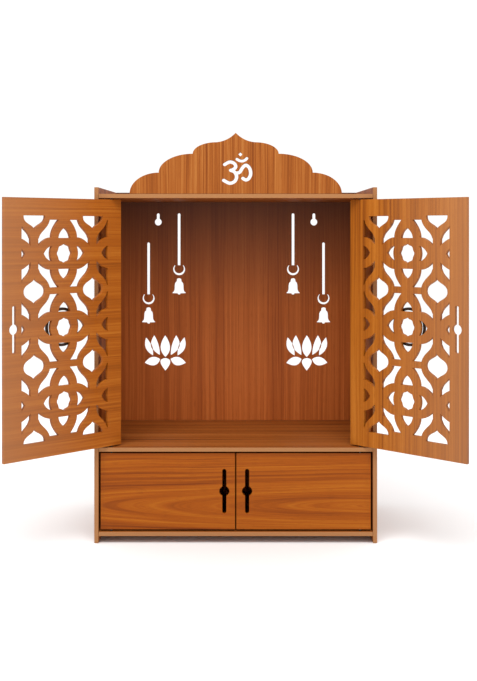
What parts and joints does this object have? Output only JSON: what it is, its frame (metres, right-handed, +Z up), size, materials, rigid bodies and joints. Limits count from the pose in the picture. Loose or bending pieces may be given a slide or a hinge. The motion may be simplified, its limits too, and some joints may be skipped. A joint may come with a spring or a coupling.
{
  "type": "household altar cabinet",
  "caption": "Household altar cabinet: an open shrine with pierced lattice doors over a small cupboard, with a lobed crest and lotus and bell cut-outs.",
  "frame": {"origin": "on the floor, at the centre of the box round the cabinet with its upper doors open", "axes": "+Z up, -Y out of the cabinet's front, +X to the right of someone who faces it"},
  "size_m": [0.6198, 0.3468, 0.5887],
  "materials": {
    "veneer": "satin orange-brown wood veneer",
    "door_veneer": "satin orange-brown wood veneer",
    "dark_veneer": "satin red-brown wood veneer",
    "crest_veneer": "satin light teak veneer",
    "pin_steel": "plain turned steel",
    "ring_bronze": "dark bronze satin"
  },
  "bodies": {
    "cabinet": {"side_panel_left": "veneer", "side_panel_right": "veneer", "top_board": "veneer", "shelf": "veneer", "bottom_board": "veneer", "back_panel": "dark_veneer", "crest": "crest_veneer"},
    "upper_left": {"upper_door_left": "door_veneer", "upper_door_ring_left": "ring_bronze", "upper_pin_left_top": "pin_steel", "upper_pin_left_bottom": "pin_steel"},
    "lower_left": {"lower_door_left": "door_veneer", "lower_pin_left_top": "pin_steel", "lower_pin_left_bottom": "pin_steel"},
    "upper_right": {"upper_door_right": "door_veneer", "upper_door_ring_right": "ring_bronze", "upper_pin_right_top": "pin_steel", "upper_pin_right_bottom": "pin_steel"},
    "lower_right": {"lower_door_right": "door_veneer", "lower_pin_right_top": "pin_steel", "lower_pin_right_bottom": "pin_steel"}
  },
  "joints": [
    {"name": "upper_left_hinge", "type": "hinge", "parent": "cabinet", "child": "upper_left", "pos_m": [-0.179, -0.04862, 0.316], "axis": [0, 0, -1], "range_deg": [-136.4, 8.6]},
    {"name": "lower_left_hinge", "type": "hinge", "parent": "cabinet", "child": "lower_left", "pos_m": [-0.179, -0.04862, 0.07345], "axis": [0, 0, -1], "range_deg": [0, 145]},
    {"name": "upper_right_hinge", "type": "hinge", "parent": "cabinet", "child": "upper_right", "pos_m": [0.179, -0.04862, 0.316], "axis": [0, 0, 1], "range_deg": [-136.4, 8.6]},
    {"name": "lower_right_hinge", "type": "hinge", "parent": "cabinet", "child": "lower_right", "pos_m": [0.179, -0.04862, 0.07345], "axis": [0, 0, 1], "range_deg": [0, 145]}
  ]
}
